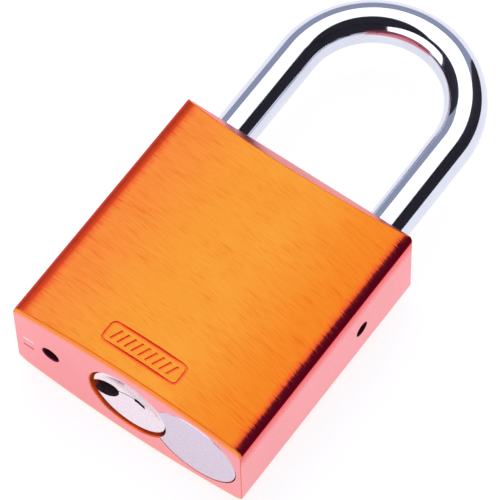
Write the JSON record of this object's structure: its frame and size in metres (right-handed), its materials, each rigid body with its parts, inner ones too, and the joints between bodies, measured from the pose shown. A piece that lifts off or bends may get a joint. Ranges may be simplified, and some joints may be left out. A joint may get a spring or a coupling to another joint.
{
  "type": "safety padlock",
  "caption": "Lockout padlock with a crowned rectangular anodised aluminium body, a chromed round steel shackle and a keyed cylinder recessed in the lower end face.",
  "frame": {"origin": "centre of the bounding box in X and Y, on the plane that the lock's back lies on (Z = 0)", "axes": "+X across the width from the heel leg to the toe leg, +Y from the key face to the shackle bow, +Z out of the front face"},
  "size_m": [0.04, 0.078, 0.02],
  "materials": {
    "orange_anodised": "orange anodised, brushed front and back, satin sides and ends",
    "chrome": "bright chrome plate on hardened steel",
    "nickel": "satin nickel plate on brass",
    "brass": "turned brass, unplated",
    "steel": "plain machined or drawn steel"
  },
  "bodies": {
    "case": {"lock_body": "orange_anodised", "pin_housing": "nickel", "pin_chamber_cover": "brass", "plug_retaining_ring": "steel", "housing_retaining_screw": "steel", "shackle_spring": "steel", "pin_spring_1": "steel", "pin_spring_2": "steel", "pin_spring_3": "steel", "pin_spring_4": "steel", "pin_spring_5": "steel", "pin_spring_6": "steel"},
    "plug": {"cylinder_plug": "nickel", "locking_cam": "steel"},
    "bow": {"shackle": "chrome"},
    "heel_ball": {"lock_ball_heel": "steel"},
    "toe_ball": {"lock_ball_toe": "steel"},
    "key_pin_1_body": {"key_pin_1": "brass"},
    "driver_pin_1_body": {"driver_pin_1": "brass"},
    "key_pin_2_body": {"key_pin_2": "brass"},
    "driver_pin_2_body": {"driver_pin_2": "brass"},
    "key_pin_3_body": {"key_pin_3": "brass"},
    "driver_pin_3_body": {"driver_pin_3": "brass"},
    "key_pin_4_body": {"key_pin_4": "brass"},
    "driver_pin_4_body": {"driver_pin_4": "brass"},
    "key_pin_5_body": {"key_pin_5": "brass"},
    "driver_pin_5_body": {"driver_pin_5": "brass"},
    "key_pin_6_body": {"key_pin_6": "brass"},
    "driver_pin_6_body": {"driver_pin_6": "brass"}
  },
  "joints": [
    {"name": "plug_turn", "type": "hinge", "parent": "case", "child": "plug", "pos_m": [0, -0.039, 0.01], "axis": [0, 1, 0], "range_deg": [0, 90]},
    {"name": "shackle_lift", "type": "slide", "parent": "case", "child": "bow", "axis": [0, 1, 0], "range_m": [0, 0.0138], "deforming": ["shackle_spring"]},
    {"name": "heel_ball_slide", "type": "slide", "parent": "case", "child": "heel_ball", "axis": [1, 0, 0], "range_m": [0, 0.003]},
    {"name": "toe_ball_slide", "type": "slide", "parent": "case", "child": "toe_ball", "axis": [-1, 0, 0], "range_m": [0, 0.003]},
    {"name": "key_pin_1_slide", "type": "slide", "parent": "plug", "child": "key_pin_1_body", "axis": [1, 0, 0], "range_m": [-0.0014, 0]},
    {"name": "driver_pin_1_slide", "type": "slide", "parent": "case", "child": "driver_pin_1_body", "axis": [1, 0, 0], "range_m": [-0.0014, 0], "deforming": ["pin_spring_1"]},
    {"name": "key_pin_2_slide", "type": "slide", "parent": "plug", "child": "key_pin_2_body", "axis": [1, 0, 0], "range_m": [-0.0014, 0]},
    {"name": "driver_pin_2_slide", "type": "slide", "parent": "case", "child": "driver_pin_2_body", "axis": [1, 0, 0], "range_m": [-0.0014, 0], "deforming": ["pin_spring_2"]},
    {"name": "key_pin_3_slide", "type": "slide", "parent": "plug", "child": "key_pin_3_body", "axis": [1, 0, 0], "range_m": [-0.0014, 0]},
    {"name": "driver_pin_3_slide", "type": "slide", "parent": "case", "child": "driver_pin_3_body", "axis": [1, 0, 0], "range_m": [-0.0014, 0], "deforming": ["pin_spring_3"]},
    {"name": "key_pin_4_slide", "type": "slide", "parent": "plug", "child": "key_pin_4_body", "axis": [1, 0, 0], "range_m": [-0.0014, 0]},
    {"name": "driver_pin_4_slide", "type": "slide", "parent": "case", "child": "driver_pin_4_body", "axis": [1, 0, 0], "range_m": [-0.0014, 0], "deforming": ["pin_spring_4"]},
    {"name": "key_pin_5_slide", "type": "slide", "parent": "plug", "child": "key_pin_5_body", "axis": [1, 0, 0], "range_m": [-0.0014, 0]},
    {"name": "driver_pin_5_slide", "type": "slide", "parent": "case", "child": "driver_pin_5_body", "axis": [1, 0, 0], "range_m": [-0.0014, 0], "deforming": ["pin_spring_5"]},
    {"name": "key_pin_6_slide", "type": "slide", "parent": "plug", "child": "key_pin_6_body", "axis": [1, 0, 0], "range_m": [-0.0014, 0]},
    {"name": "driver_pin_6_slide", "type": "slide", "parent": "case", "child": "driver_pin_6_body", "axis": [1, 0, 0], "range_m": [-0.0014, 0], "deforming": ["pin_spring_6"]}
  ],
  "couplings": [
    {"joint": "plug_turn", "follows": "shackle_lift", "rad_per_m": 113.83},
    {"joint": "heel_ball_slide", "follows": "shackle_lift", "ratio": 0.21739},
    {"joint": "toe_ball_slide", "follows": "shackle_lift", "ratio": 0.21739},
    {"joint": "driver_pin_1_slide", "follows": "key_pin_1_slide", "ratio": 1},
    {"joint": "driver_pin_2_slide", "follows": "key_pin_2_slide", "ratio": 1},
    {"joint": "driver_pin_3_slide", "follows": "key_pin_3_slide", "ratio": 1},
    {"joint": "driver_pin_4_slide", "follows": "key_pin_4_slide", "ratio": 1},
    {"joint": "driver_pin_5_slide", "follows": "key_pin_5_slide", "ratio": 1},
    {"joint": "driver_pin_6_slide", "follows": "key_pin_6_slide", "ratio": 1}
  ]
}
